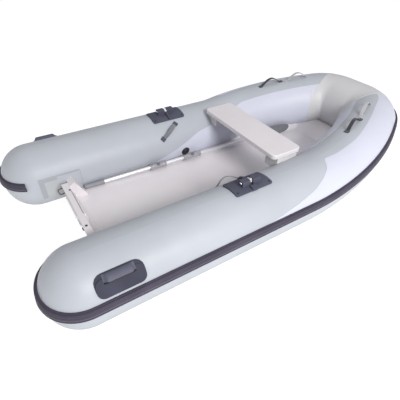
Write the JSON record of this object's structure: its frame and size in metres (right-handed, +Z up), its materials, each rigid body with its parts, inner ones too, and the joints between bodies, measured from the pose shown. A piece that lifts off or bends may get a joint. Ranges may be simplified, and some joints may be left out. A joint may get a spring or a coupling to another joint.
{
  "type": "rigid-hulled inflatable boat",
  "caption": "Small yacht tender with a moulded hull between round-ended air tubes, a rub rail, a thwart, swinging rowlock tongues, handles and a stowed oar.",
  "frame": {"origin": "on the floor under the middle of the boat, on the keel's flat", "axes": "+X to the bow, +Y to port, +Z up"},
  "size_m": [2.9686, 1.5104, 0.6642],
  "materials": {
    "tube": "coated boat fabric, satin",
    "rub_rail": "ribbed, matt",
    "gelcoat": "white gelcoat, glossy",
    "plate": "white plastic, satin",
    "moulded_rubber": "moulded, matt",
    "steel": "polished",
    "aluminium": "anodised",
    "black_plastic": "moulded, satin",
    "webbing": "woven, matt",
    "pale_webbing": "woven, matt",
    "oar_grip": "moulded, matt",
    "oar_blade": "moulded, satin"
  },
  "bodies": {
    "root": {"tube_port": "tube", "tube_starboard": "tube", "tube_bow": "tube", "rail_port": "rub_rail", "rail_starboard": "rub_rail", "rail_bow": "rub_rail", "hull_bottom": "gelcoat", "sole": "gelcoat", "transom": "gelcoat", "knee_port": "gelcoat", "knee_starboard": "gelcoat", "motor_plate_inside": "plate", "motor_plate_outside": "plate", "thwart": "gelcoat", "thwart_shoe_port": "moulded_rubber", "thwart_shoe_starboard": "moulded_rubber", "handle_pad_port": "moulded_rubber", "handle_pad_starboard": "moulded_rubber", "stern_handle_port": "moulded_rubber", "stern_handle_starboard": "moulded_rubber", "rowlock_base_port": "moulded_rubber", "rowlock_base_starboard": "moulded_rubber", "rowlock_pin_port": "steel", "rowlock_pin_starboard": "steel", "transom_patch_port": "tube", "transom_patch_starboard": "tube", "valve_port": "black_plastic", "valve_starboard": "black_plastic", "grab_strap_port": "webbing", "grab_strap_starboard": "webbing", "bow_handle_port": "webbing", "bow_handle_starboard": "webbing", "bow_loop_port": "pale_webbing", "bow_loop_starboard": "pale_webbing", "stern_eye_port": "steel", "stern_eye_starboard": "steel", "drain_bung": "black_plastic", "bow_eye": "steel", "oar_grip": "oar_grip", "oar_shaft": "aluminium", "oar_collar": "black_plastic", "oar_clamp": "black_plastic", "oar_blade": "oar_blade"},
    "rowlock_port": {"rowlock_tongue_port": "aluminium"},
    "rowlock_starboard": {"rowlock_tongue_starboard": "aluminium"}
  },
  "joints": [
    {"name": "rowlock_port_swing", "type": "hinge", "parent": "root", "child": "rowlock_port", "pos_m": [-0.25839, 0.52, 0.542], "axis": [-1, 0, 0], "range_deg": [0, 150]},
    {"name": "rowlock_starboard_swing", "type": "hinge", "parent": "root", "child": "rowlock_starboard", "pos_m": [-0.25839, -0.52, 0.542], "axis": [1, 0, 0], "range_deg": [0, 150]}
  ]
}
